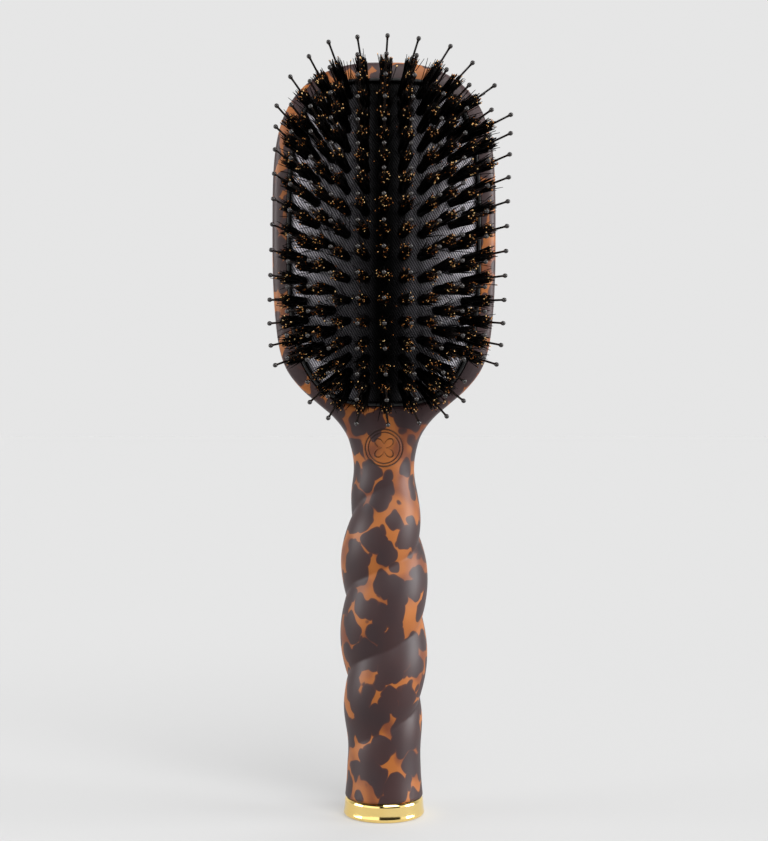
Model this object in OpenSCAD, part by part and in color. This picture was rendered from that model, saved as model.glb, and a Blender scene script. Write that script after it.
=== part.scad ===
// Cushioned vanity hairbrush with a rope-twist handle, standing on its end cap.
// Millimetres. Origin: centre of the flat end of the cap. +Z runs up the handle to
// the head, the bristles point to -Y, and +X is to the right seen from the bristle side.

/* [Head] */
// Height of the top of the head above the flat end of the cap
head_top = 250.3; // [246:0.1:256]
// Height at which the head is widest
head_mid = 190; // [186:1:194]
// Half of the widest width of the head
head_half_width = 37.1; // [35:0.1:39]
// Depth of the front rim in front of the parting plane
head_front = 8.4; // [8:0.1:9.5]
// Depth of the domed back behind the parting plane
head_back = 9.6; // [9:0.1:12]
// Squareness of the head outline where its sides turn inward, higher is squarer
head_side_power = 4.2; // [3.5:0.1:5]
// Squareness of the head outline over its crown, higher is flatter
head_crown_power = 2.4; // [2:0.1:3]

/* [Handle] */
// Height that one strand of the twist climbs in a full turn
twist_pitch = 53.5; // [45:0.5:65]
// Depth of the crease between the two strands
twist_depth = 2.2; // [0.5:0.1:3]
// Height of one crease where it crosses the front
twist_phase = 56; // [50:0.5:60]
// How far the creases sway from an even helix
twist_sway = 3.4; // [0:0.1:5]

/* [End cap] */
// Height of the metal end cap
cap_height = 6.2; // [5:0.1:8]
// Radius of the cap at its foot
cap_radius = 13.55; // [13:0.05:14]
// Wall thickness of the cap
cap_wall = 1.3; // [0.8:0.1:2]
// Radius of the plug's spigot, pushed into the handle
spigot_radius = 6; // [4:0.1:8]
// Length of the spigot inside the handle
spigot_length = 20; // [12:1:28]

/* [Cushion] */
// Width of the head's rim, from its edge to the cushion's mouth
rim_width = 5.1; // [4.8:0.1:6.5]
// Height of the cushion's dome above its clamped edge
dome_height = 12; // [9:0.1:13]
// Thickness of the rubber membrane
membrane_wall = 1.2; // [0.8:0.1:1.6]
// Thickness of the woven facing
cloth_wall = 0.5; // [0.3:0.1:0.7]

/* [Bristles] */
// Height between rows in the middle of the cushion
row_pitch = 7.2; // [6.6:0.05:7.2]
// Length of a pin outside the cushion, to the tip of its ball
pin_length = 21.5; // [18:0.5:24]
// Radius of a pin
pin_radius = 0.36; // [0.3:0.02:0.42]
// Radius of a pin's ball tip
ball_radius = 0.75; // [0.6:0.05:1]
// Length of a tuft outside the cushion
tuft_length = 13; // [10:0.5:14]
// Radius of a tuft where it leaves the cushion
tuft_radius = 1.2; // [1:0.05:1.3]

/* [Hidden] */
$fn = 48;
slack = 0.1;

// The outline of the neck and handle: height, half width. The stretch above
// head_mid is a superellipse and needs no points.
profile = [
    [cap_height, 13.0], [14, 12.35], [24, 12.3], [38, 13.7], [57, 14.55], [84, 14.45],
    [97, 13.1], [106, 11.4], [116, 10.1], [124.5, 11.6], [129, 13.9], [133, 17.3],
    [137, 22], [142, 27.6], [148, 32.2], [155, 34.7], [165, 36.1],
    [178, 0.995 * head_half_width], [head_mid, head_half_width]
];
neck_height = 116;
neck_depth = 10.1;
shoulder_height = 140;
front_power = 6;
back_power = 2.3;
ring_sides = 40;

// The cushion's mouth: half width, height above head_mid and depth below it
mouth_half = head_half_width - rim_width;
mouth_up = head_top - head_mid - rim_width - 1;
mouth_down = 54;
mouth_power_up = 3.5;
mouth_power_down = 3;
mouth_sides = 72;
pocket_floor = 2.2;
ring_front = -8.0;
ring_back = -5.0;
ring_width = 0.9;

// The cushion, from its clamped flange to the top of its dome
dome_edge = -6.6;
dome_power = 2.5;
cloth_inset = ring_width + slack + 0.3;
flange_back = ring_back + 1.2;
dome_rings = 9;

// Columns of bristles to each side of the middle: distance, rows of lift, the numbers of
// rows that the column runs down and up from the middle row, and how much the rows draw
// together towards its upper end
columns = [
    [0, 0, 8, 8, 0.172], [5.8, 0, 8, 8, 0.177], [11.9, 0, 8, 7, 0.1],
    [16.8, 0.5, 7.5, 6.5, 0.105], [21.8, 0.5, 5.5, 5.5, 0.03], [26.2, 0, 6, 5, 0.272],
];
column_edge = 26.2;
rows_each_way = 8;
row_count = 2 * rows_each_way + 1;
row_middle = 191.3;
row_draw_down = 0.15;
row_reach = rows_each_way * row_pitch * (1 - columns[0][4]);
corner_draw_x_up = 0.24;
corner_draw_x_down = 0.38;
corner_draw_z = 0.1;
// Bristles fan out sideways, more so at the ends of the cushion, and a little more to
// the right. Upward they lean little in the middle and a lot at the ends
fan_radius_x = 50;
fan_sway = 0.09;
fan_sway_slope = 0.1;
fan_end = 0.38;
fan_end_sway = 0.055;
rise_middle = 0.1;
rise_slope = 0.3;
rise_end = 0.34;
rise_corner = 0.2;
pin_root = 2.5;
tuft_root = 1.4;
pin_head_radius = 1.1;
pin_head_height = 0.7;

function two_digits(i) = str(i < 10 ? "0" : "", i);
function row_name(kind, i) = str(kind, "_row_", two_digits(i));

// ---- curves ----

function clamp01(t) = min(1, max(0, t));
function smooth(t) = let (c = clamp01(t)) c * c * (3 - 2 * c);
function mix(a, b, t) = a + (b - a) * t;

// A smooth curve through points [height, value]: slopes are those between neighbours
function slope(p, i) =
    let (a = max(0, i - 1), b = min(len(p) - 1, i + 1))
    (p[b][1] - p[a][1]) / (p[b][0] - p[a][0]);
function span(p, z, i = 0) = i >= len(p) - 2 || z < p[i + 1][0] ? i : span(p, z, i + 1);
function curve(p, z) =
    let (i = span(p, z), h = p[i + 1][0] - p[i][0], t = clamp01((z - p[i][0]) / h))
    let (m0 = slope(p, i), m1 = i == len(p) - 2 ? 0 : slope(p, i + 1))
    (2 * t ^ 3 - 3 * t ^ 2 + 1) * p[i][1] + (t ^ 3 - 2 * t ^ 2 + t) * h * m0
    + (3 * t ^ 2 - 2 * t ^ 3) * p[i + 1][1] + (t ^ 3 - t ^ 2) * h * m1;

// ---- head and handle ----

function head_rise(z) = clamp01((z - head_mid) / (head_top - head_mid));
function half_width(z) =
    z < head_mid ? curve(profile, z)
    : head_half_width * (1 - head_rise(z) ^ head_side_power) ^ (1 / head_crown_power);
function to_head(z) = smooth((z - neck_height) / (shoulder_height - neck_height));
function depth(z, full, power) =
    z < neck_height ? half_width(z)
    : mix(neck_depth, full, to_head(z)) * (1 - head_rise(z) ^ power) ^ (1 / power);

// The two-strand twist: a crease runs where its turn is a whole number
function twist_amount(z) = smooth((z - 16) / 22) * (1 - smooth((z - 100) / 17));
function crease_turn(angle, z) =
    (z - twist_phase - twist_pitch * angle / 360 + twist_sway * sin(angle)) / (twist_pitch / 2);
function crease_shape(angle, z) =
    1 - (sin(180 * crease_turn(angle, z)) ^ 2 + 0.002) ^ 0.42;
function twist_scale(angle, z) =
    1 - twist_depth * twist_amount(z) * crease_shape(angle, z) / half_width(z);

// A point of the surface at a height. Angle 0 is the front, 90 the right side
function body_point(z, angle) =
    let (front = cos(angle) > 0)
    let (power = mix(2, front ? front_power : back_power, to_head(z)))
    let (reach = (abs(sin(angle)) ^ power + abs(cos(angle)) ^ power) ^ (-1 / power))
    let (d = front ? depth(z, head_front, front_power) : depth(z, head_back, back_power))
    let (k = reach * twist_scale(angle, z))
    [half_width(z) * k * sin(angle), -d * k * cos(angle), z];

function head_top_height(eta) =
    let (n = head_crown_power)
    head_mid + (head_top - head_mid) * sin(eta) * (sin(eta) ^ n + cos(eta) ^ n) ^ (-1 / n);
body_heights = concat(
    [for (i = [0 : 46]) mix(cap_height, 117, i / 47)],
    [for (i = [0 : 14]) mix(117, 150, i / 15)],
    [for (i = [0 : 4]) mix(150, head_mid, i / 5)],
    [for (i = [0 : 12]) head_top_height(85 * i / 12)]
);

// A closed skin over rings of points, with a pole at each end where one is given
module skin(rings, first_pole, last_pole) {
    n = len(rings[0]);
    m = len(rings);
    points = concat([for (r = rings) for (p = r) p], [first_pole, last_pole]);
    sides = [for (j = [0 : m - 2]) for (i = [0 : n - 1])
        let (a = j * n + i, b = j * n + (i + 1) % n)
        for (f = [[a, b, b + n], [a, b + n, a + n]]) f];
    first_fan = [for (i = [0 : n - 1]) [m * n, (i + 1) % n, i]];
    last_fan = [for (i = [0 : n - 1]) let (k = (m - 1) * n) [m * n + 1, k + i, k + (i + 1) % n]];
    polyhedron(points, [for (f = concat(sides, first_fan, last_fan)) [f[2], f[1], f[0]]]);
}

module body_solid() {
    rings = [for (z = body_heights) [for (i = [0 : ring_sides - 1]) body_point(z, 360 * i / ring_sides)]];
    skin(rings, [0, 0, cap_height], [0, 0, head_top]);
}

// ---- the cushion's mouth ----

function mouth_corner(inset, angle) =
    let (up = sin(angle) > 0, n = up ? mouth_power_up : mouth_power_down)
    let (reach = (abs(sin(angle)) ^ n + abs(cos(angle)) ^ n) ^ (-1 / n))
    let (h = (up ? mouth_up : mouth_down) - inset)
    [(mouth_half - inset) * reach * cos(angle), head_mid + h * reach * sin(angle)];
function mouth_outline(inset) = [for (i = [0 : mouth_sides - 1]) mouth_corner(inset, 360 * i / mouth_sides)];
// How far out a place on the cushion lies: 0 in the middle, 1 at the outline
function mouth_reach(x, z, inset) =
    let (up = z > head_mid, n = up ? mouth_power_up : mouth_power_down)
    let (h = (up ? mouth_up : mouth_down) - inset)
    (abs(x / (mouth_half - inset)) ^ n + abs((z - head_mid) / h) ^ n) ^ (1 / n);

module mouth_block(inset, front, back) {
    translate([0, back, 0])
        rotate([90, 0, 0])
            linear_extrude(back - front)
                polygon(mouth_outline(inset));
}

// ---- pieces ----

module handle_body() {
    color("#4a3a36")
        difference() {
            body_solid();
            mouth_block(0, -20, pocket_floor);
            translate([0, 0, cap_height - 1])
                cylinder(r = spigot_radius + 0.05, h = spigot_length + 2);
        }
}

// A pressed metal cup whose foot is the flat end of the brush
module end_cap() {
    top = cap_radius - 0.45;
    color("#e8c04a")
        rotate_extrude()
            polygon([
                [0, 0], [cap_radius - 1.2, 0], [cap_radius - 0.35, 0.3], [cap_radius, 1.1],
                [top, cap_height - 0.9], [top - 0.35, cap_height - 0.25], [top - 1, cap_height - slack],
                [top - cap_wall, cap_height - slack], [cap_radius - cap_wall - 0.4, cap_wall + 0.5],
                [cap_radius - cap_wall - 0.9, cap_wall], [0, cap_wall]
            ]);
}

// The plug that fills the cap and holds it in the handle
module cap_plug() {
    shoulder = cap_radius - 0.45 - cap_wall - slack;
    color("#2b2726")
        rotate_extrude()
            polygon([
                [0, cap_wall + slack], [shoulder - 1.2, cap_wall + slack], [shoulder, cap_wall + 1.4],
                [shoulder, cap_height - slack], [spigot_radius, cap_height - slack],
                [spigot_radius, cap_height + spigot_length - 1],
                [spigot_radius - 1, cap_height + spigot_length], [0, cap_height + spigot_length]
            ]);
}

// The ring that clamps the cushion's edge into the head
module cushion_ring() {
    color("#171717")
        difference() {
            mouth_block(slack, ring_front, ring_back);
            mouth_block(ring_width + slack, ring_front - 1, ring_back + 1);
        }
}

function dome_depth(reach) = dome_edge - dome_height * (1 - clamp01(reach) ^ dome_power);

// A shell turned from stations [inset of the outline, share of that outline, y]
module cushion_shell(stations) {
    ring_of = function (s) [for (c = mouth_outline(s[0]))
        [c[0] * s[1], s[2], head_mid + (c[1] - head_mid) * s[1]]];
    rings = [for (s = stations) ring_of(s)];
    last = stations[len(stations) - 1];
    skin(rings, [0, stations[0][2], head_mid], [0, last[2], head_mid]);
}
function dome_stations(inset, drop, flip) =
    [for (i = [1 : dome_rings])
        let (k = flip ? dome_rings + 1 - i : i, share = sin(90 * k / dome_rings))
        [inset, share, dome_depth(share) + drop]];

// Rubber dome with a flange that sits behind the ring
module cushion_membrane() {
    outer = cloth_inset + cloth_wall + slack / 2;
    color("#1c1c1e")
        cushion_shell(concat(
            dome_stations(outer, cloth_wall + slack / 2, false),
            [[outer, 1, ring_back + 0.3], [0.3, 1, ring_back + 0.3], [0.3, 1, flange_back],
             [outer + membrane_wall, 1, flange_back]],
            dome_stations(outer + membrane_wall, cloth_wall + slack / 2 + membrane_wall, true)
        ));
}

// Woven facing over the dome
module cushion_cloth() {
    color("#3a3a3c")
        cushion_shell(concat(
            dome_stations(cloth_inset, 0, false),
            [[cloth_inset, 1, ring_back + 0.2], [cloth_inset + cloth_wall, 1, ring_back + 0.2]],
            dome_stations(cloth_inset + cloth_wall, cloth_wall, true)
        ));
}

// ---- bristles ----

// Places of one row on the cushion, [x, z] of each bristle. Rows draw together at the
// ends, where the dome falls away, and the grid's corners are drawn in
function row_places(i) =
    [for (side = [-1, 1]) for (k = [0 : len(columns) - 1])
        let (steps = i - 1 - rows_each_way + columns[k][1])
        let (s = columns[k][0] / column_edge, t = steps / rows_each_way)
        let (draw_x = t > 0 ? corner_draw_x_up : corner_draw_x_down)
        let (draw_z = t > 0 ? columns[k][4] : row_draw_down + corner_draw_z * s ^ 2)
        if ((k > 0 || side > 0) && steps >= -columns[k][2] && steps <= columns[k][3]) [
            side * columns[k][0] * (1 - draw_x * s ^ 2 * t ^ 4),
            row_middle + row_pitch * steps * (1 - draw_z * t ^ 2)
        ]];

// Turns a bristle made along +Z so that it leaves the cushion at [x, z], fanned outward
module planted(place) {
    s = place[0] / column_edge;
    t = (place[1] - row_middle) / row_reach;
    sway = (fan_sway + fan_sway_slope * t) * s ^ 2 + (fan_end * s + fan_end_sway) * t ^ 4;
    lean_x = asin(place[0] / fan_radius_x + sway);
    lean_z = asin(rise_middle + rise_slope * t + rise_end * t ^ 5 + rise_corner * s ^ 2 * t ^ 3);
    surface = dome_depth(mouth_reach(place[0], place[1], cloth_inset));
    translate([place[0], surface, place[1]])
        rotate([90 - lean_z, 0, 0])
            rotate([0, lean_x, 0])
                children();
}

module pin() {
    neck = pin_length - 2.7 * ball_radius;
    rotate_extrude($fn = 16)
        polygon([
            [0, -pin_root], [pin_head_radius, -pin_root], [pin_head_radius, pin_head_height - pin_root],
            [pin_radius, pin_head_height - pin_root], [pin_radius, neck], [0.8 * ball_radius, neck + 0.5],
            [ball_radius, neck + 1], [0.8 * ball_radius, neck + 1.4], [0.3 * ball_radius, pin_length],
            [0, pin_length]
        ]);
}

module tuft() {
    tip = 1.35 * tuft_radius;
    bore = pin_radius + 0.08;
    rotate_extrude($fn = 16)
        polygon([
            [bore, -tuft_root], [tuft_radius, -tuft_root], [tip, tuft_length - 0.8],
            [0.7 * tip, tuft_length], [bore, tuft_length]
        ]);
}

module pins_row(i) {
    color("#2a2926")
        for (place = row_places(i)) planted(place) pin();
}

module tufts_row(i) {
    color("#0f0e0d")
        for (place = row_places(i)) planted(place) tuft();
}

handle_body();
end_cap();
cap_plug();
cushion_ring();
cushion_membrane();
cushion_cloth();
for (i = [1 : row_count]) {
    pins_row(i);
    tufts_row(i);
}
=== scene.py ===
"""Looks of the cushioned vanity hairbrush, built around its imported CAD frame.

Lengths in the shape functions are millimetres, as in the CAD source. Everything is
turned to metres where a mesh is made. +Z runs up the handle, bristles point to -Y.
"""

import math

import bpy
import numpy as np
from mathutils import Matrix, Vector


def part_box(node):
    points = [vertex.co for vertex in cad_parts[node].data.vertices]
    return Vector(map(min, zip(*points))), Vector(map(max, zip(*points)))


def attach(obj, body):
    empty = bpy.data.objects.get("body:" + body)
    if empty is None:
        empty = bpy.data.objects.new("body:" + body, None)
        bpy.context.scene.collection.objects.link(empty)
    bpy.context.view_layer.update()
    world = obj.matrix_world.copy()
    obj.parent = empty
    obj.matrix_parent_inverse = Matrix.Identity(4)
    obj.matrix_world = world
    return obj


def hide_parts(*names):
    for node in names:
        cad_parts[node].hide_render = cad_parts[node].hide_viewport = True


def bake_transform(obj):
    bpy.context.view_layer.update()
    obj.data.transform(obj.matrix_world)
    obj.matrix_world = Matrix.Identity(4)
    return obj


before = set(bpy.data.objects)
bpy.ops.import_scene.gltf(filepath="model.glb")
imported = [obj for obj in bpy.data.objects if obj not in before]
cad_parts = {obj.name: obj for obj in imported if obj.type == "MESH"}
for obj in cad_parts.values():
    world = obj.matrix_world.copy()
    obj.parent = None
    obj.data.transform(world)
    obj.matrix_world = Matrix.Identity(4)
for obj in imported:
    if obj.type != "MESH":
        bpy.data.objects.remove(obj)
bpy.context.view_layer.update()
scene = bpy.context.scene
MM = 0.001


def node_box(node):
    """Lowest and highest corner of a CAD node, in millimetres."""
    low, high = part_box(node)
    return np.array(low) / MM, np.array(high) / MM


# ---------------------------------------------------------------- sizes

body_low, body_high = node_box("handle_body")
cap_high = node_box("end_cap")[1]
ring_low, ring_high = node_box("cushion_ring")
cloth_low = node_box("cushion_cloth")[0]

HEAD_TOP = body_high[2]
HEAD_HALF = body_high[0]
HEAD_MID = 190.0
HEAD_SIDE_POWER = 4.2
HEAD_CROWN_POWER = 2.4
HEAD_FRONT = 8.4
HEAD_BACK = 9.6
FRONT_POWER = 6.0
BACK_POWER = 2.3
CAP_TOP = body_low[2]
CAP_RADIUS = cap_high[0]

NECK_Z = 116.0
NECK_DEPTH = 10.1
SHOULDER_Z = 140.0
# Half widths of the body (height, half width) from the cap to the middle of the head.
PROFILE = np.array([
    [CAP_TOP, 13.0], [14, 12.35], [24, 12.3], [38, 13.7], [57, 14.55], [84, 14.45],
    [97, 13.1], [106, 11.4], [116, 10.1], [124.5, 11.6], [129, 13.9], [133, 17.3],
    [137, 22], [142, 27.6], [148, 32.2], [155, 34.7], [165, 36.1],
    [178, 0.995 * HEAD_HALF], [HEAD_MID, HEAD_HALF],
])

TWIST_PITCH = 53.5
TWIST_DEPTH = 2.3
TWIST_PHASE = 56.0
TWIST_SWAY = 3.4
TWIST_FADE_IN = (16.0, 38.0)
TWIST_FADE_OUT = (100.0, 117.0)
CREASE_ROUNDING = 0.0008
CREASE_POWER = 0.42
LIP_HEIGHT = 0.8
LIP_SHARE = 0.045

MOUTH_HALF = HEAD_HALF - 5.1
MOUTH_UP = HEAD_TOP - HEAD_MID - 6.1
MOUTH_DOWN = 54.0
MOUTH_POWER_UP = 3.5
MOUTH_POWER_DOWN = 3.0
POCKET_FLOOR = 2.2
# The mouth's wall and softened edge (inset, depth), from inside to clear of the head's front.
MOUTH_EDGE = [(0, -7.0), (-0.05, -7.35), (-0.16, -7.65), (-0.36, -7.95), (-0.65, -8.25),
              (-1.1, -8.6), (-1.1, -12.0)]
RING_FRONT = ring_low[1]
RING_BACK = ring_high[1]
RING_WIDTH = 0.9
RING_MIDDLE = -6.0

DOME_EDGE = -6.6
DOME_HEIGHT = DOME_EDGE - cloth_low[1]
DOME_POWER = 2.5
CLOTH_INSET = 1.3
CLOTH_WALL = 0.5
MEMBRANE_WALL = 1.2
CLOTH_FLANGE = -4.85
MOUTH_SIDES = 260

# Columns of bristles: distance from the middle, lift in rows, rows down, rows up, and how
# much the upper rows close up towards the top.
COLUMNS = [
    (0, 0, 8, 8, 0.172), (5.8, 0, 8, 8, 0.177), (11.9, 0, 8, 7, 0.1),
    (16.8, 0.5, 7.5, 6.5, 0.105), (21.8, 0.5, 5.5, 5.5, 0.03), (26.2, 0, 6, 5, 0.272),
]
COLUMN_EDGE = 26.2
ROWS_EACH_WAY = 8
ROW_COUNT = 2 * ROWS_EACH_WAY + 1
ROW_MIDDLE = 191.3
ROW_PITCH = 7.2
ROW_DRAW_DOWN = 0.15
ROW_REACH = ROWS_EACH_WAY * ROW_PITCH * (1 - COLUMNS[0][4])
CORNER_DRAW_X_UP = 0.24
CORNER_DRAW_X_DOWN = 0.38
CORNER_DRAW_Z = 0.1

# How the bristles lean: outward with their distance from the middle, and up or down with
# their row.
FAN_X = 50.0
FAN_SWAY = 0.09
FAN_SWAY_SLOPE = 0.1
FAN_END = 0.38
FAN_END_SWAY = 0.055
RISE_MIDDLE = 0.1
RISE_SLOPE = 0.3
RISE_END = 0.34
RISE_CORNER = 0.2

PIN_LENGTH = 21.5
PIN_RADIUS = 0.36
PIN_BURIED = 2.5
PIN_SIDES = 14
BALL_RADIUS = 0.75
BALL_STRETCH = 1.05
BALL_FULLNESS = 0.9

TUFT_LENGTH = 13.0
TUFT_RADIUS = 1.2
HAIRS = 100
HAIR_BURIED = 1.4
# Shares of a hair's length where it has a ring of points, and its half thickness there.
HAIR_STEPS = (0.0, 0.3, 0.6, 0.85, 1.0)
HAIR_THICKNESS = (0.16, 0.16, 0.155, 0.15, 0.1)
# Turn from one hair's seat to the next, in radians, which fills a tuft evenly.
GOLDEN_TURN = 2.39996
FIRST_SEED = 400
SEAT_JITTER = (0.9, 1.1)
TURN_JITTER = 0.5
LENGTH_SPREAD = 0.75
OUTER_SHORTER = 0.5
STRAY_SHARE = 0.12
STRAY_LEAN = 0.12
CALM_LEAN = 0.02
TUFT_SPREAD = 0.045
HAIR_BOW = 0.3
# Hairs whose random tone, 0 to 1, is above this have an amber end, which is thicker.
AMBER_FROM = 0.84
AMBER_THICKER = 0.12

EMBLEM_Z = 122.4
EMBLEM_RADIUS = 6.4
# The emblem's rings (distance inside its radius, half width of the line).
EMBLEM_RINGS = [(0.3, 0.2), (1.3, 0.16)]
RING_LINE_FLAT = 1.6
LEAF_LENGTH = 3.9
LEAF_POWER = 0.8
LEAF_LINE = 0.2
LEAF_LINE_FLAT = 1.5
LEAF_HEART = 0.5
EMBLEM_MARGIN = 0.6
ENGRAVING_SHARE = 0.028


# ---------------------------------------------------------------- camera

CAMERA_DISTANCE = 500.0
CAMERA_HEIGHT = 131.4
LENS = 64.0


def make_camera():
    data = bpy.data.cameras.new("camera")
    data.lens = LENS
    data.sensor_width = 36.0
    data.clip_start = 0.01
    data.clip_end = 60.0
    camera = bpy.data.objects.new("camera", data)
    scene.collection.objects.link(camera)
    camera.location = (0, -CAMERA_DISTANCE * MM, CAMERA_HEIGHT * MM)
    camera.rotation_euler = (math.radians(90), 0, 0)
    scene.camera = camera


# ---------------------------------------------------------------- meshes

def link_mesh(name, points, faces, material):
    """A new smooth-shaded object from points in millimetres."""
    mesh = bpy.data.meshes.new(name)
    mesh.from_pydata((np.asarray(points) * MM).tolist(), [], faces)
    mesh.update()
    mesh.polygons.foreach_set("use_smooth", [True] * len(mesh.polygons))
    mesh.materials.append(material)
    piece = bpy.data.objects.new(name, mesh)
    scene.collection.objects.link(piece)
    return piece


def skin(rings, first_pole=None, last_pole=None):
    """Points and quads over closed rings (m, n, 3), with a fan to each pole given."""
    m, n = rings.shape[:2]
    points = rings.reshape(-1, 3).tolist()
    faces = []
    for j in range(m - 1):
        for i in range(n):
            a, b = j * n + i, j * n + (i + 1) % n
            faces.append((a, b, b + n, a + n))
    for pole, row, is_first in ((first_pole, 0, True), (last_pole, m - 1, False)):
        if pole is None:
            continue
        points.append(list(pole))
        top = len(points) - 1
        for i in range(n):
            a, b = row * n + i, row * n + (i + 1) % n
            faces.append((b, a, top) if is_first else (a, b, top))
    return np.array(points), faces


def lathe(name, profile, sides, material):
    """A turned piece about the Z axis from (radius, z) points that start and end on it."""
    angles = np.linspace(0, 2 * np.pi, sides, endpoint=False)
    rows = np.array(profile[1:-1])
    rings = np.empty((len(rows), sides, 3))
    rings[..., 0] = rows[:, :1] * np.cos(angles)
    rings[..., 1] = rows[:, :1] * np.sin(angles)
    rings[..., 2] = rows[:, 1:]
    points, faces = skin(rings, (0, 0, profile[0][1]), (0, 0, profile[-1][1]))
    return link_mesh(name, points, faces, material)


def rounded(corners, steps):
    """A polyline whose inner points (x, y, radius) are rounded with an arc-like curve."""
    out = [corners[0][:2]]
    largest_share = 0.49
    for before, here, after in zip(corners, corners[1:], corners[2:]):
        p = np.array(here[:2])
        radius = here[2]
        ends = []
        for other in (before, after):
            way = np.array(other[:2]) - p
            length = np.linalg.norm(way)
            ends.append(p + way / length * min(radius, length * largest_share))
        for t in np.linspace(0, 1, steps + 1):
            out.append(tuple((1 - t) ** 2 * ends[0] + 2 * t * (1 - t) * p + t * t * ends[1]))
    out.append(corners[-1][:2])
    return out


def shade_by_angle(piece, degrees):
    """Smooth shading with edges sharper than the angle kept crisp."""
    with bpy.context.temp_override(object=piece, active_object=piece, selected_objects=[piece],
                                   selected_editable_objects=[piece]):
        bpy.ops.object.shade_smooth_by_angle(angle=math.radians(degrees))


def apply_modifiers(piece):
    """Turns the piece's modifiers into its mesh."""
    graph = bpy.context.evaluated_depsgraph_get()
    mesh = bpy.data.meshes.new_from_object(piece.evaluated_get(graph))
    piece.modifiers.clear()
    old, piece.data = piece.data, mesh
    mesh.name = old.name + "_made"
    bpy.data.meshes.remove(old)


def add_attribute(piece, name, values):
    """A value for each point of a piece, for its material to read."""
    attribute = piece.data.attributes.new(name, "FLOAT", "POINT")
    attribute.data.foreach_set("value", np.asarray(values, np.float32))


def points_of(piece):
    """A mesh's points in millimetres."""
    co = np.empty(len(piece.data.vertices) * 3, np.float32)
    piece.data.vertices.foreach_get("co", co)
    return co.reshape(-1, 3).astype(float) / MM


# ---------------------------------------------------------------- shape of the body

def smooth_step(t):
    t = np.clip(t, 0, 1)
    return t * t * (3 - 2 * t)


def step_between(z, low, high):
    return smooth_step((z - low) / (high - low))


def mix(a, b, t):
    return a + (b - a) * t


def curve(points, z):
    """The same smooth curve through points that the CAD uses."""
    x, y = points[:, 0], points[:, 1]
    slopes = np.empty(len(x))
    slopes[1:-1] = (y[2:] - y[:-2]) / (x[2:] - x[:-2])
    slopes[0] = (y[1] - y[0]) / (x[1] - x[0])
    slopes[-1] = 0
    i = np.clip(np.searchsorted(x, z, side="right") - 1, 0, len(x) - 2)
    h = x[i + 1] - x[i]
    t = np.clip((z - x[i]) / h, 0, 1)
    return ((2 * t**3 - 3 * t**2 + 1) * y[i] + (t**3 - 2 * t**2 + t) * h * slopes[i]
            + (3 * t**2 - 2 * t**3) * y[i + 1] + (t**3 - t**2) * h * slopes[i + 1])


def head_rise(z):
    """Share of the way from the head's middle to its top."""
    return np.clip((z - HEAD_MID) / (HEAD_TOP - HEAD_MID), 0, 1)


def half_width(z):
    head = HEAD_HALF * (1 - head_rise(z) ** HEAD_SIDE_POWER) ** (1 / HEAD_CROWN_POWER)
    return np.where(z < HEAD_MID, curve(PROFILE, z), head)


def to_head(z):
    return step_between(z, NECK_Z, SHOULDER_Z)


def depth(z, full, power):
    """Depth of the body in front of its middle plane, or behind it."""
    head = mix(NECK_DEPTH, full, to_head(z)) * (1 - head_rise(z) ** power) ** (1 / power)
    return np.where(z < NECK_Z, half_width(z), head)


def twist_scale(angle, z):
    """Share of the radius left where the two strands meet in a crease."""
    amount = step_between(z, *TWIST_FADE_IN) * (1 - step_between(z, *TWIST_FADE_OUT))
    along = z - TWIST_PHASE - TWIST_PITCH * angle / (2 * np.pi) + TWIST_SWAY * np.sin(angle)
    turn = along / (TWIST_PITCH / 2)
    crease = 1 - (np.sin(np.pi * turn) ** 2 + CREASE_ROUNDING) ** CREASE_POWER
    return 1 - TWIST_DEPTH * amount * crease / half_width(z)


def body_points(z, angle):
    """Points of the body's surface. Angle 0 is the front, a quarter turn is +X."""
    front = np.cos(angle) > 0
    power = mix(2, np.where(front, FRONT_POWER, BACK_POWER), to_head(z))
    s, c = np.sin(angle), np.cos(angle)
    reach = (np.abs(s) ** power + np.abs(c) ** power) ** (-1 / power)
    deep = np.where(front, depth(z, HEAD_FRONT, FRONT_POWER), depth(z, HEAD_BACK, BACK_POWER))
    scale = reach * twist_scale(angle, z)
    return np.stack([half_width(z) * scale * s, -deep * scale * c, z], -1)


def groove(off, half, flat):
    """1 along an engraved line, falling smoothly to 0 away from it."""
    return smooth_step(flat - np.abs(off) / half)


def emblem_depth(x, z):
    """Share of the engraving's full depth: two fine rings round a four-leaf figure."""
    rise = z - EMBLEM_Z
    r = np.hypot(x, rise)
    rings = sum(groove(r - EMBLEM_RADIUS + inside, half, RING_LINE_FLAT) for inside, half in EMBLEM_RINGS)
    leaf_edge = LEAF_LENGTH * np.abs(np.sin(2 * np.arctan2(rise, x))) ** LEAF_POWER
    leaves = groove(r - leaf_edge, LEAF_LINE, LEAF_LINE_FLAT) * (r > LEAF_HEART)
    return np.clip(rings + leaves, 0, 1) * (r < EMBLEM_RADIUS + EMBLEM_MARGIN)


def head_heights(turn):
    """Heights that follow the crown evenly, from the head's middle (0) to its top (90 degrees)."""
    s, c, n = np.sin(turn), np.cos(turn), HEAD_CROWN_POWER
    return HEAD_MID + (HEAD_TOP - HEAD_MID) * s * (s**n + c**n) ** (-1 / n)


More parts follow.
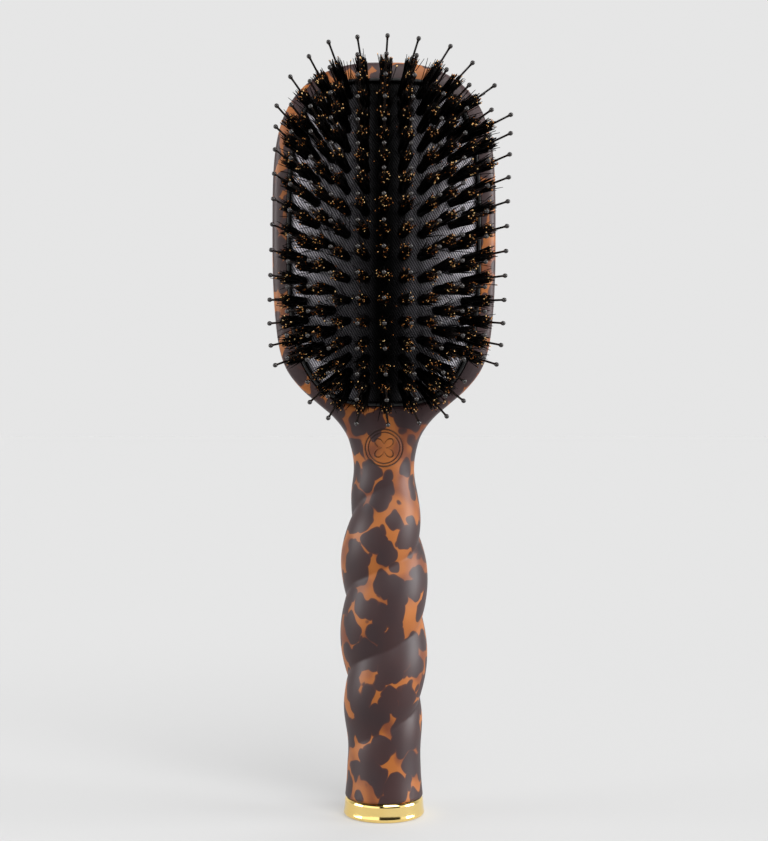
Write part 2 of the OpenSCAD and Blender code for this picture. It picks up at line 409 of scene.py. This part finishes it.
def body_mesh(material):
    """The whole body as rings of points, closer together round the emblem."""
    emblem_low, emblem_high, shoulder_high = 114, 131, 150
    heights = np.concatenate([
        CAP_TOP + LIP_HEIGHT * (1 - np.cos(np.linspace(0, np.pi / 2, 6, endpoint=False))),
        np.linspace(CAP_TOP + LIP_HEIGHT, emblem_low, 178, endpoint=False),
        np.linspace(emblem_low, emblem_high, 86, endpoint=False),
        np.linspace(emblem_high, shoulder_high, 32, endpoint=False),
        np.linspace(shoulder_high, HEAD_MID, 40, endpoint=False),
        head_heights(np.radians(np.linspace(0, 88.6, 64))),
    ])
    front = np.radians(40)
    angles = np.concatenate([
        np.linspace(-front, front, 76, endpoint=False),
        np.linspace(front, 2 * np.pi - front, 112, endpoint=False),
    ])
    angles = np.where(angles > np.pi, angles - 2 * np.pi, angles)
    z, angle = np.meshgrid(heights, angles, indexing="ij")
    rings = body_points(z, angle)
    lip = np.clip(1 - (z - CAP_TOP) / LIP_HEIGHT, 0, 1)
    rings[..., :2] *= (1 - LIP_SHARE * (1 - np.sqrt(1 - lip**2)))[..., None]
    faces_front = np.cos(angle) > 0.3
    cut = emblem_depth(rings[..., 0], z) * faces_front
    rings[..., :2] *= (1 - ENGRAVING_SHARE * cut)[..., None]
    points, faces = skin(rings, (0, 0, CAP_TOP), (0, 0, HEAD_TOP))
    return link_mesh("body", points, faces, material)


# ---------------------------------------------------------------- shape of the cushion

def mouth_size(up, inset):
    """Power and half height of the mouth's outline, above its middle or below it."""
    power = np.where(up, MOUTH_POWER_UP, MOUTH_POWER_DOWN)
    return power, np.where(up, MOUTH_UP, MOUTH_DOWN) - inset


def mouth_ring(inset, count):
    """The mouth's outline as x and z about its middle, moved inward by inset."""
    angle = np.linspace(0, 2 * np.pi, count, endpoint=False)
    n, height = mouth_size(np.sin(angle) > 0, inset)
    reach = (np.abs(np.sin(angle)) ** n + np.abs(np.cos(angle)) ** n) ** (-1 / n)
    return (MOUTH_HALF - inset) * reach * np.cos(angle), height * reach * np.sin(angle)


def mouth_reach(x, z, inset):
    """How far out a place on the cushion is, 0 in the middle and 1 on the outline."""
    n, height = mouth_size(z > HEAD_MID, inset)
    return (np.abs(x / (MOUTH_HALF - inset)) ** n + np.abs((z - HEAD_MID) / height) ** n) ** (1 / n)


def dome_depth(share):
    """Y of the dome's outer face at a share of the way out to its edge."""
    return DOME_EDGE - DOME_HEIGHT * (1 - np.clip(share, 0, 1) ** DOME_POWER)


def mouth_shell(name, stations, count, material):
    """A closed piece from stations (inset, share of the outline, y), pole to pole."""
    rings = np.empty((len(stations), count, 3))
    for ring, (inset, share, y) in zip(rings, stations):
        x, z = mouth_ring(inset, count)
        ring[:, 0] = x * share
        ring[:, 1] = y
        ring[:, 2] = HEAD_MID + z * share
    points, faces = skin(rings, (0, stations[0][2], HEAD_MID), (0, stations[-1][2], HEAD_MID))
    return link_mesh(name, points, faces, material)


def dome_stations(inset, drop, rings):
    """Stations over the dome, pole to edge, with its face lowered by drop."""
    shares = np.sin(np.linspace(0, np.pi / 2, rings + 1))[1:]
    return [(inset, share, dome_depth(share) + drop) for share in shares]


# ---------------------------------------------------------------- node materials

def new_material(name):
    material = bpy.data.materials.new(name)
    material.use_nodes = True
    tree = material.node_tree
    shader = tree.nodes["Principled BSDF"]
    return material, tree, shader


def add(tree, kind, values=(), **settings):
    """A node with its settings, and its unlinked sockets set by name."""
    made = tree.nodes.new(kind)
    for key, value in settings.items():
        setattr(made, key, value)
    for key, value in dict(values).items():
        made.inputs[key].default_value = value
    return made


def object_coords(tree, scale=(1, 1, 1), turn=(0, 0, 0)):
    """Places on the piece in metres, stretched and turned."""
    coords = add(tree, "ShaderNodeTexCoord")
    mapping = add(tree, "ShaderNodeMapping", {"Scale": scale, "Rotation": turn})
    tree.links.new(coords.outputs["Object"], mapping.inputs["Vector"])
    return mapping.outputs["Vector"]


def noise(tree, vector, scale, detail=2.0, roughness=0.5, distortion=0.0):
    """Soft noise whose scale is in patches per metre."""
    made = add(tree, "ShaderNodeTexNoise",
               {"Scale": scale, "Detail": detail, "Roughness": roughness, "Distortion": distortion})
    tree.links.new(vector, made.inputs["Vector"])
    return made.outputs["Fac"]


def ramp(tree, factor, stops):
    """A colour ramp of (place, colour) stops."""
    made = add(tree, "ShaderNodeValToRGB")
    elements = made.color_ramp.elements
    while len(elements) < len(stops):
        elements.new(0.5)
    for element, (place, colour) in zip(elements, stops):
        element.position = place
        element.color = (*colour, 1)
    tree.links.new(factor, made.inputs["Fac"])
    return made.outputs["Color"]


def math_node(tree, operation, a, b=None):
    """The result of an operation on one or two sockets or numbers."""
    made = add(tree, "ShaderNodeMath", operation=operation)
    for socket, value in zip(made.inputs, (a, b)):
        if value is None:
            continue
        if isinstance(value, (int, float)):
            socket.default_value = value
        else:
            tree.links.new(value, socket)
    return made.outputs[0]


def blend_colour(tree, factor, a, b):
    """Colour a where the factor is 0, colour b where it is 1."""
    made = add(tree, "ShaderNodeMix", data_type="RGBA")
    for socket, value in ((made.inputs[0], factor), (made.inputs[6], a), (made.inputs[7], b)):
        if isinstance(value, (int, float)):
            socket.default_value = value
        elif isinstance(value, tuple):
            socket.default_value = (*value, 1)
        else:
            tree.links.new(value, socket)
    return made.outputs[2]


def map_range(tree, value, low, high, to_low=0.0, to_high=1.0):
    """A value's place between low and high, kept within them, turned to another range."""
    made = add(tree, "ShaderNodeMapRange",
               {"From Min": low, "From Max": high, "To Min": to_low, "To Max": to_high})
    tree.links.new(value, made.inputs["Value"])
    return made.outputs["Result"]


def set_roughness(tree, shader, grain, low, high):
    """Roughness that follows a grain of noise from low to high."""
    tree.links.new(map_range(tree, grain, 0.0, 1.0, low, high), shader.inputs["Roughness"])


def bump(tree, shader, height, strength, distance):
    made = add(tree, "ShaderNodeBump", {"Strength": strength, "Distance": distance})
    tree.links.new(height, made.inputs["Height"])
    tree.links.new(made.outputs["Normal"], shader.inputs["Normal"])


def attribute(tree, name):
    return add(tree, "ShaderNodeAttribute", attribute_name=name).outputs["Fac"]


def srgb(r, g, b):
    """A colour given as it looks on screen, 0 to 255, as the linear one nodes use."""
    def linear(c):
        c /= 255
        return c / 12.92 if c <= 0.04045 else ((c + 0.055) / 1.055) ** 2.4
    return linear(r), linear(g), linear(b)


def tortoiseshell():
    """Rounded dark clouds with amber left between them, so the amber is star-shaped."""
    material, tree, shader = new_material("tortoiseshell")
    where = object_coords(tree, (1, 1, 0.85))
    warp = add(tree, "ShaderNodeTexNoise", {"Scale": 170.0, "Detail": 0.8, "Roughness": 0.5})
    tree.links.new(where, warp.inputs["Vector"])
    bend = 0.006
    away = add(tree, "ShaderNodeVectorMath", {1: (bend, bend, bend)}, operation="MULTIPLY_ADD")
    tree.links.new(warp.outputs["Color"], away.inputs[0])
    tree.links.new(where, away.inputs[2])
    clouds = add(tree, "ShaderNodeTexVoronoi", {"Scale": 162.0, "Randomness": 1.0}, feature="F1")
    tree.links.new(away.outputs["Vector"], clouds.inputs["Vector"])
    broad = noise(tree, where, scale=58, detail=1.0, roughness=0.4, distortion=0.3)
    broad_share, medallion_share = 0.45, 0.35
    drift = math_node(tree, "MULTIPLY", broad, broad_share)
    clearing = math_node(tree, "MULTIPLY", attribute(tree, "medallion"), medallion_share)
    field = math_node(tree, "ADD", math_node(tree, "ADD", clouds.outputs["Distance"], drift), clearing)
    reddish = noise(tree, where, scale=95, detail=1.0, roughness=0.5, distortion=0.2)
    amber_stops = [(0.38, srgb(112, 58, 30)), (0.5, srgb(150, 86, 34)), (0.7, srgb(160, 94, 38))]
    amber = ramp(tree, reddish, amber_stops)
    dark = ramp(tree, reddish, [(0.35, srgb(46, 30, 32)), (0.65, srgb(53, 31, 31))])
    amber_from, amber_full = 0.85, 0.88
    edge = map_range(tree, field, amber_from, amber_full)
    rim_from, rim_full, rim_share = 0.79, 0.865, 0.6
    rim = math_node(tree, "MULTIPLY", map_range(tree, field, rim_from, rim_full), rim_share)
    rimmed = blend_colour(tree, rim, dark, srgb(84, 42, 28))
    shell = blend_colour(tree, edge, rimmed, amber)
    # Painted shade in the engraved grooves: the lines are coloured darker than the shell around them.
    shaded_grooves = blend_colour(tree, attribute(tree, "engraving"), shell, srgb(40, 24, 18))
    tree.links.new(shaded_grooves, shader.inputs["Base Color"])
    grain = noise(tree, where, scale=2600, detail=2.0, roughness=0.6)
    set_roughness(tree, shader, grain, 0.42, 0.52)
    shader.inputs["Specular IOR Level"].default_value = 0.36
    bump(tree, shader, grain, strength=0.06, distance=0.00005)
    return material


def gold():
    """Polished pale gold with faint brushing round the cap."""
    material, tree, shader = new_material("gold")
    shader.inputs["Metallic"].default_value = 1.0
    clouds = noise(tree, object_coords(tree), scale=60)
    tone = ramp(tree, clouds, [(0.3, srgb(253, 218, 132)), (0.7, srgb(255, 226, 150))])
    tree.links.new(tone, shader.inputs["Base Color"])
    brushed = noise(tree, object_coords(tree, scale=(1, 1, 30)), scale=900)
    set_roughness(tree, shader, brushed, 0.06, 0.13)
    bump(tree, shader, brushed, strength=0.02, distance=0.00002)
    return material


def bands(tree, per_metre, degrees, settings):
    """Straight bands across the facing, turned in its plane."""
    made = add(tree, "ShaderNodeTexWave", settings, wave_type="BANDS", bands_direction="X")
    where = object_coords(tree, (per_metre, 1, per_metre), (0, math.radians(degrees), 0))
    tree.links.new(where, made.inputs["Vector"])
    return made.outputs["Fac"]


def weave():
    """Fine twill: raised diagonal ribs crossed by finer threads.

    Light and shade are painted into its colour: painted light towards its sides, painted shade over its
    top and painted shade between the tufts, where they would cast it.
    """
    material, tree, shader = new_material("woven_facing")
    ribs = bands(tree, 430, 30, {"Scale": 1.0, "Distortion": 0.6, "Detail": 1.0, "Detail Scale": 2.0})
    threads = bands(tree, 560, -75, {"Scale": 1.0, "Distortion": 0.4, "Detail": 1.0})
    thread_share, whole = 0.4, 0.7
    height = math_node(tree, "ADD", ribs, math_node(tree, "MULTIPLY", threads, thread_share))
    colour = ramp(tree, math_node(tree, "MULTIPLY", height, whole),
                  [(0.25, srgb(44, 43, 46)), (0.8, srgb(104, 102, 106))])
    # Painted light and shade: the cloth's colour is scaled paler towards its sides and darker over its
    # top, standing in for how the lamps reach it.
    split = add(tree, "ShaderNodeSeparateXYZ")
    tree.links.new(object_coords(tree), split.inputs[0])
    from_middle = math_node(tree, "ABSOLUTE", split.outputs["X"])
    # Painted light: the colour is scaled up with distance from the middle, from dim near it to full
    # towards the sides.
    painted_dark_within, painted_light_beyond = 0.002, 0.021
    sides = map_range(tree, from_middle, painted_dark_within, painted_light_beyond, 0.01, 1.0)
    # Painted shade: the colour is scaled down over the top of the dome.
    top_shade_begins, top_shade_ends = 0.23, 0.24
    top = map_range(tree, split.outputs["Z"], top_shade_begins, top_shade_ends, 1.0, 0.3)
    side_light_power, side_light_gain = 1.4, 5.4
    paler = math_node(tree, "MULTIPLY", math_node(tree, "POWER", sides, side_light_power), side_light_gain)
    # Painted shade: the cloth's colour darkens where tufts stand close round it, as their shade would
    # fall.
    between = add(tree, "ShaderNodeAmbientOcclusion", {"Distance": 0.007}, samples=4)
    tuft_shade_power = 1.2
    tuft_shade = math_node(tree, "POWER", between.outputs["AO"], tuft_shade_power)
    shade = add(tree, "ShaderNodeVectorMath", operation="SCALE")
    tree.links.new(colour, shade.inputs[0])
    painted_light_gain = math_node(tree, "MULTIPLY", math_node(tree, "MULTIPLY", paler, top), tuft_shade)
    tree.links.new(painted_light_gain, shade.inputs["Scale"])
    tree.links.new(shade.outputs[0], shader.inputs["Base Color"])
    shader.inputs["Roughness"].default_value = 0.7
    shader.inputs["Specular IOR Level"].default_value = 0.05
    shader.inputs["Sheen Weight"].default_value = 0.03
    shader.inputs["Sheen Roughness"].default_value = 0.4
    bump(tree, shader, height, strength=0.5, distance=0.0002)
    return material


def plain_plastic(name, colour, low, high, grain_scale):
    """Dark plastic or rubber with a fine grain and roughness from low to high."""
    material, tree, shader = new_material(name)
    grain = noise(tree, object_coords(tree), grain_scale, detail=3.0, roughness=0.6)
    paler = tuple(c * 1.3 for c in colour)
    tree.links.new(ramp(tree, grain, [(0.3, colour), (0.7, paler)]), shader.inputs["Base Color"])
    set_roughness(tree, shader, grain, low, high)
    bump(tree, shader, grain, strength=0.1, distance=0.00005)
    return material


def nylon():
    """Black pins with a slightly paler ball at the tip."""
    material, tree, shader = new_material("nylon_pin")
    grain = noise(tree, object_coords(tree), scale=1800)
    shaft = ramp(tree, grain, [(0.3, srgb(20, 17, 16)), (0.7, srgb(32, 27, 25))])
    ball = ramp(tree, grain, [(0.3, srgb(22, 18, 17)), (0.7, srgb(34, 28, 26))])
    tree.links.new(blend_colour(tree, attribute(tree, "ball"), shaft, ball), shader.inputs["Base Color"])
    shader.inputs["Roughness"].default_value = 0.12
    bump(tree, shader, grain, strength=0.05, distance=0.00003)
    return material


def hair():
    """Black hair. The higher a strand's tone, the longer and paler its amber end. Most have none."""
    material, tree, shader = new_material("boar_hair")
    along = attribute(tree, "along")
    tone = attribute(tree, "tone")
    streak = noise(tree, object_coords(tree), scale=1500)
    dark = ramp(tree, streak, [(0.3, srgb(4, 3, 3)), (0.75, srgb(13, 10, 9))])
    amber_stops = [(AMBER_FROM, srgb(150, 74, 30)), (0.92, srgb(222, 138, 64)), (1.0, srgb(255, 216, 150))]
    amber = ramp(tree, tone, amber_stops)
    latest, earlier, sharpness = 1.165, 0.205, 30.0
    start = math_node(tree, "SUBTRACT", latest, math_node(tree, "MULTIPLY", tone, earlier))
    over = math_node(tree, "MULTIPLY", math_node(tree, "SUBTRACT", along, start), sharpness)
    end = add(tree, "ShaderNodeClamp")
    tree.links.new(over, end.inputs["Value"])
    tree.links.new(blend_colour(tree, end.outputs[0], dark, amber), shader.inputs["Base Color"])
    shader.inputs["Roughness"].default_value = 0.5
    shader.inputs["Specular IOR Level"].default_value = 0.06
    bump(tree, shader, streak, strength=0.05, distance=0.00002)
    return material


# ---------------------------------------------------------------- pieces

def carve_mouth(body):
    """Cuts the cushion's pocket, with a softened edge, out of the front of the head."""
    stations = [(0, 1, POCKET_FLOOR)] + [(inset, 1, y) for inset, y in MOUTH_EDGE]
    cutter = mouth_shell("mouth_cutter", stations, MOUTH_SIDES, body.data.materials[0])
    made = body.modifiers.new("pocket", "BOOLEAN")
    made.object = cutter
    made.operation = "DIFFERENCE"
    made.solver = "EXACT"
    apply_modifiers(body)
    bpy.data.objects.remove(cutter)


def make_body(material):
    """Head, neck and twisted handle, with the engraving and the clear patch round it marked."""
    body = body_mesh(material)
    carve_mouth(body)
    x, y, z = points_of(body).T
    in_front = y < 0
    add_attribute(body, "engraving", emblem_depth(x, z) * in_front)
    edge, fade = EMBLEM_RADIUS + 1, 4
    from_emblem = np.hypot(x, z - EMBLEM_Z)
    add_attribute(body, "medallion", smooth_step((edge - from_emblem) / fade) * in_front)
    shade_by_angle(body, 40)
    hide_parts("handle_body")
    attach(body, "brush")


def make_cap(material):
    """Cup with a bevelled foot, a slightly hollow wall and a bevelled rim."""
    r, top = CAP_RADIUS, cap_high[2]
    foot = [(0, 0), (r - 0.9, 0, 0.5), (r, 0.7, 0.6)]
    wall = [(r - 0.32, 2.3, 1.1), (r - 0.5, top - 0.75, 0.5)]
    rim = [(r - 0.95, top, 0.3), (r - 1.8, top, 0.2)]
    inside = [(r - 2.1, 2.0, 0.3), (0, 1.3)]
    cap = lathe("cap", rounded(foot + wall + rim + inside, steps=6), 180, material)
    shade_by_angle(cap, 35)
    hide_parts("end_cap")
    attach(cap, "brush")


def make_plug(material):
    """Disc that fills the cap, with a spigot that goes up into the handle."""
    r, low, top = CAP_RADIUS - 1.95, 1.45, cap_high[2]
    spigot, spigot_top = 6.0, node_box("cap_plug")[1][2]
    disc = [(0, low), (r - 0.3, low, 0.4), (r, top, 0.2)]
    fillet = [(spigot + 0.4, top, 0.3), (spigot, top + 0.6, 0.3)]
    end = [(spigot, spigot_top - 1, 0.4), (spigot - 1, spigot_top, 0.3), (0, spigot_top)]
    plug = lathe("plug", rounded(disc + fillet + end, steps=4), 96, material)
    shade_by_angle(plug, 35)
    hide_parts("cap_plug")
    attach(plug, "brush")


def make_ring(material):
    """Clamping ring: a band with rounded edges that follows the mouth."""
    outer = 0.1
    inner = RING_WIDTH + outer
    corners = [(outer, RING_MIDDLE), (outer, RING_FRONT, 0.25), (inner, RING_FRONT, 0.3),
               (inner, RING_BACK, 0.2), (outer, RING_BACK, 0.2), (outer, RING_MIDDLE)]
    section = rounded(corners, steps=4)[:-1]
    rings = np.empty((len(section), MOUTH_SIDES, 3))
    for ring, (inset, y) in zip(rings, section):
        x, z = mouth_ring(inset, MOUTH_SIDES)
        ring[:] = np.stack([x, np.full(MOUTH_SIDES, y), HEAD_MID + z], -1)
    points, faces = skin(np.concatenate([rings, rings[:1]]))
    n = MOUTH_SIDES * len(section)
    faces = [tuple(i % n for i in f) for f in faces]
    ring = link_mesh("clamp_ring", points[:n], faces, material)
    shade_by_angle(ring, 50)
    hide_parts("cushion_ring")
    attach(ring, "brush")


def blend_cushion(piece):
    """Bakes the piece's placement into its points."""
    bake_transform(piece)


def make_membrane(material):
    """Rubber dome under the facing, with a rounded flange behind the ring."""
    rings, gap = 30, 0.05
    outer = CLOTH_INSET + CLOTH_WALL + gap
    inner = outer + MEMBRANE_WALL
    flange_front, flange_back, flange_edge, bevel = -4.7, -3.8, 0.3, 0.2
    stations = dome_stations(outer, CLOTH_WALL + gap, rings)
    stations += [(outer, 1, flange_front - bevel), (outer - 0.3, 1, flange_front - 0.02)]
    stations += [(flange_edge + bevel, 1, flange_front), (flange_edge, 1, flange_front + bevel)]
    stations += [(flange_edge, 1, flange_back - bevel), (flange_edge + bevel, 1, flange_back)]
    stations += [(inner, 1, flange_back)]
    stations += dome_stations(inner, CLOTH_WALL + gap + MEMBRANE_WALL, rings)[::-1]
    membrane = mouth_shell("membrane", stations, 200, material)
    shade_by_angle(membrane, 50)
    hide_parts("cushion_membrane")
    blend_cushion(membrane)


def make_cloth(material):
    """Woven facing, a thin dome whose edge goes down behind the ring."""
    rings = 56
    stations = dome_stations(CLOTH_INSET, 0, rings)
    stations += [(CLOTH_INSET, 1, CLOTH_FLANGE), (CLOTH_INSET + CLOTH_WALL, 1, CLOTH_FLANGE)]
    stations += dome_stations(CLOTH_INSET + CLOTH_WALL, CLOTH_WALL, rings)[::-1]
    cloth = mouth_shell("facing", stations, 220, material)
    shade_by_angle(cloth, 50)
    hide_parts("cushion_cloth")
    blend_cushion(cloth)


def row_places(row):
    """Places of one row on the cushion, as the CAD has them, from the lowest row (1) up.

    s and t are the shares of the way out to the last column and the last row.
    """
    places = []
    for side in (-1, 1):
        for distance, lift, down, up, draw_up in COLUMNS:
            steps = row - 1 - ROWS_EACH_WAY + lift
            if not -down <= steps <= up or (distance == 0 and side < 0):
                continue
            s, t = distance / COLUMN_EDGE, steps / ROWS_EACH_WAY
            draw_x = CORNER_DRAW_X_UP if t > 0 else CORNER_DRAW_X_DOWN
            draw_z = draw_up if t > 0 else ROW_DRAW_DOWN + CORNER_DRAW_Z * s**2
            places.append((side * distance * (1 - draw_x * s**2 * t**4),
                           ROW_MIDDLE + ROW_PITCH * steps * (1 - draw_z * t**2)))
    return places


def planted(x, z):
    """Root, direction and two side directions of a bristle at a place on the cushion.

    s and t are its shares of the way out to the last column and the last row.
    """
    s, t = x / COLUMN_EDGE, (z - ROW_MIDDLE) / ROW_REACH
    sway = (FAN_SWAY + FAN_SWAY_SLOPE * t) * s**2 + (FAN_END * s + FAN_END_SWAY) * t**4
    lean_x = math.asin(x / FAN_X + sway)
    lean_z = math.asin(RISE_MIDDLE + RISE_SLOPE * t + RISE_END * t**5 + RISE_CORNER * s**2 * t**3)
    root = np.array([x, float(dome_depth(mouth_reach(x, z, CLOTH_INSET))), z])
    forward = math.cos(lean_x)
    way = np.array([math.sin(lean_x), -forward * math.cos(lean_z), forward * math.sin(lean_z)])
    across = np.cross(way, [0, 0, 1.0])
    across /= np.linalg.norm(across)
    return root, way, across, np.cross(across, way)


def pin_profile():
    """Outline of a pin (radius, place along it) from its buried end to its ball."""
    neck = PIN_LENGTH - 2.7 * BALL_RADIUS
    shaft = [(PIN_RADIUS, -PIN_BURIED), (PIN_RADIUS, 0), (PIN_RADIUS, neck * 0.5)]
    shaft += [(0.95 * PIN_RADIUS, neck - 0.4)]
    half = BALL_STRETCH * BALL_RADIUS
    ball = [(BALL_RADIUS * math.sin(a) ** BALL_FULLNESS, PIN_LENGTH - half - half * math.cos(a))
            for a in np.linspace(math.radians(32), math.radians(172), 12)]
    return shaft + ball


def make_pins(row, material):
    """One row of ball-tipped pins."""
    profile = np.array(pin_profile())
    ball_start = PIN_LENGTH - 2.6 * BALL_RADIUS
    angles = np.linspace(0, 2 * np.pi, PIN_SIDES, endpoint=False)
    points, faces, ball = [], [], []
    for x, z in row_places(row):
        root, way, a, b = planted(x, z)
        around = np.cos(angles)[:, None] * a + np.sin(angles)[:, None] * b
        rings = root + profile[:, None, 1:] * way + profile[:, None, :1] * around
        first, last = root + profile[0, 1] * way, root + PIN_LENGTH * way
        made, quads = skin(rings, first, last)
        faces += [tuple(i + len(points) for i in f) for f in quads]
        points += made.tolist()
        is_ball = np.repeat(profile[:, 1] > ball_start, PIN_SIDES)
        ball += [*is_ball, False, True]
    piece = link_mesh(f"pins_{row:02d}", points, faces, material)
    add_attribute(piece, "ball", ball)
    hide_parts(f"pins_row_{row:02d}")
    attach(piece, "cushion")


def strands(root, way, a, b, tone, rng):
    """Rings of three points along each hair of one tuft, and how far along each is."""
    index = np.arange(HAIRS) + 0.5
    radius = TUFT_RADIUS * np.sqrt(index / HAIRS) * rng.uniform(*SEAT_JITTER, HAIRS)
    turn = index * GOLDEN_TURN + rng.uniform(0, TURN_JITTER, HAIRS)
    seat = np.stack([radius * np.cos(turn), radius * np.sin(turn)], -1)
    uneven = rng.normal(0, LENGTH_SPREAD, HAIRS)
    length = TUFT_LENGTH + uneven - OUTER_SHORTER * (radius / TUFT_RADIUS) ** 2
    stray = np.where(rng.uniform(0, 1, HAIRS) < STRAY_SHARE, STRAY_LEAN, CALM_LEAN)[:, None]
    lean = seat * TUFT_SPREAD + rng.normal(0, 1, (HAIRS, 2)) * stray
    bow = rng.normal(0, HAIR_BOW, (HAIRS, 2))
    steps = np.array(HAIR_STEPS)
    thick = np.tile(HAIR_THICKNESS, (HAIRS, 1))
    thick[:, -1] += AMBER_THICKER * (tone > AMBER_FROM)
    along = -HAIR_BURIED + steps[None, :] * (length[:, None] + HAIR_BURIED)
    sideways = seat[:, None, :] + lean[:, None, :] * np.clip(along, 0, None)[..., None]
    sideways = sideways + bow[:, None, :] * (steps**2)[None, :, None]
    middle = root + along[..., None] * way + sideways[..., :1] * a + sideways[..., 1:] * b
    corners = np.radians([0, 120, 240])[None, :] + turn[:, None]
    around = np.cos(corners)[..., None] * a + np.sin(corners)[..., None] * b
    rings = middle[:, :, None, :] + thick[:, :, None, None] * around[:, None, :, :]
    return rings, np.broadcast_to(steps[None, :, None], rings.shape[:3])


def make_tufts(row, material):
    """One row of tufts, each hair a thin three-sided rod."""
    rng = np.random.default_rng(FIRST_SEED + row)
    grid, share, tone = [], [], []
    for x, z in row_places(row):
        root, way, a, b = planted(x, z)
        tones = rng.uniform(0, 1, HAIRS)
        rings, along = strands(root, way, a, b, tones, rng)
        grid.append(rings)
        share.append(along)
        tone.append(np.broadcast_to(tones[:, None, None], along.shape))
    grid, share, tone = np.concatenate(grid), np.concatenate(share), np.concatenate(tone)
    hairs, levels, sides = grid.shape[:3]
    base = (np.arange(hairs) * levels * sides)[:, None]
    quads = [(j + i, j + (i + 1) % sides, j + sides + (i + 1) % sides, j + sides + i)
             for j in range(0, (levels - 1) * sides, sides) for i in range(sides)]
    ends = [(2, 1, 0), tuple((levels - 1) * sides + i for i in range(sides))]
    faces = (base[:, :, None] + np.array(quads)[None]).reshape(-1, 4).tolist()
    faces += (base[:, :, None] + np.array(ends)[None]).reshape(-1, 3).tolist()
    piece = link_mesh(f"tufts_{row:02d}", grid.reshape(-1, 3), faces, material)
    add_attribute(piece, "along", share.ravel())
    add_attribute(piece, "tone", tone.ravel())
    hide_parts(f"tufts_row_{row:02d}")
    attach(piece, "cushion")


# ---------------------------------------------------------------- studio

# Brightness of the paper behind the brush, and of the tent where it is dim.
PAPER = 0.79
TENT_DIM = 0.03
TENT_FADE = (-0.2, 0.7)
FLOOR_ALBEDO = 0.36
FLOOR_GLOW = 0.293
BOX_SOFTNESS = 5.0

# Soft boxes: azimuth, half width, elevation and half height in degrees, and strength.
# Azimuth 0 is the camera's side and 90 is to the right.
SOFT_BOXES = [
    (24, 22, 50, 20, 6.2), (82, 12, 9, 11, 17.0), (-80, 12, 9, 11, 10.0),
    (160, 30, 60, 15, 1.5), (-38, 22, 14, 14, 1.5), (62, 12, 14, 14, 1.0),
]


def make_floor():
    """A plain floor, far wider than the picture.

    It looks pale to the camera and in mirrors by a glow that lights nothing else, so that
    little light comes up from it.
    """
    reach = 12.0 / MM
    material, tree, shader = new_material("backdrop")
    shader.inputs["Base Color"].default_value = (FLOOR_ALBEDO, FLOOR_ALBEDO, FLOOR_ALBEDO, 1)
    shader.inputs["Roughness"].default_value = 1.0
    shader.inputs["Specular IOR Level"].default_value = 0.0
    shader.inputs["Emission Color"].default_value = (1, 1, 1, 1)
    seen = add(tree, "ShaderNodeLightPath")
    direct = math_node(tree, "MAXIMUM", seen.outputs["Is Camera Ray"], seen.outputs["Is Glossy Ray"])
    glow = math_node(tree, "MULTIPLY", direct, FLOOR_GLOW)
    tree.links.new(glow, shader.inputs["Emission Strength"])
    corners = [(-reach, -reach, 0), (reach, -reach, 0), (reach, reach, 0), (-reach, reach, 0)]
    floor = link_mesh("floor", corners, [(0, 1, 2, 3)], material)


def window(tree, value, middle, half):
    """1 where an angle lies within half of the middle, falling softly to 0 outside."""
    off = math_node(tree, "ABSOLUTE", math_node(tree, "SUBTRACT", value, math.radians(middle)))
    outside = math.radians(half) + math.radians(BOX_SOFTNESS)
    edge = add(tree, "ShaderNodeMapRange", {"From Min": outside, "From Max": math.radians(half)},
               interpolation_type="SMOOTHSTEP")
    tree.links.new(off, edge.inputs["Value"])
    return edge.outputs["Result"]


def make_world():
    """A studio tent that is dim on the camera's side, with soft boxes painted on it.

    The camera itself sees plain paper in its place, from every side.
    """
    world = bpy.data.worlds.new("studio")
    world.use_nodes = True
    tree = world.node_tree
    coords = add(tree, "ShaderNodeTexCoord")
    split = add(tree, "ShaderNodeSeparateXYZ")
    tree.links.new(coords.outputs["Generated"], split.inputs[0])
    x, y, z = split.outputs
    azimuth = math_node(tree, "ARCTAN2", x, math_node(tree, "MULTIPLY", y, -1.0))
    elevation = math_node(tree, "ARCSINE", z)
    light = map_range(tree, y, *TENT_FADE, TENT_DIM, PAPER)
    for middle, half, height, half_height, strength in SOFT_BOXES:
        across = window(tree, azimuth, middle, half)
        up = window(tree, elevation, height, half_height)
        box = math_node(tree, "MULTIPLY", math_node(tree, "MULTIPLY", across, up), strength)
        light = math_node(tree, "ADD", light, box)
    seen = add(tree, "ShaderNodeLightPath")
    shown = add(tree, "ShaderNodeMix", {3: PAPER}, data_type="FLOAT")
    tree.links.new(seen.outputs["Is Camera Ray"], shown.inputs[0])
    tree.links.new(light, shown.inputs[2])
    background = tree.nodes["Background"]
    background.inputs["Color"].default_value = (1, 1, 1, 1)
    tree.links.new(shown.outputs[0], background.inputs["Strength"])
    scene.world = world


# ---------------------------------------------------------------- the brush

make_camera()
make_body(tortoiseshell())
make_cap(gold())
make_plug(plain_plastic("plug_plastic", srgb(40, 38, 37), 0.4, 0.55, 900))
make_ring(plain_plastic("ring_plastic", srgb(7, 7, 7), 0.5, 0.65, 1200))
make_membrane(plain_plastic("rubber", srgb(26, 26, 28), 0.6, 0.75, 1500))
make_cloth(weave())
pin_material = nylon()
hair_material = hair()
for row_number in range(1, ROW_COUNT + 1):
    make_pins(row_number, pin_material)
    make_tufts(row_number, hair_material)
make_floor()
make_world()
scene.view_settings.view_transform = "Standard"
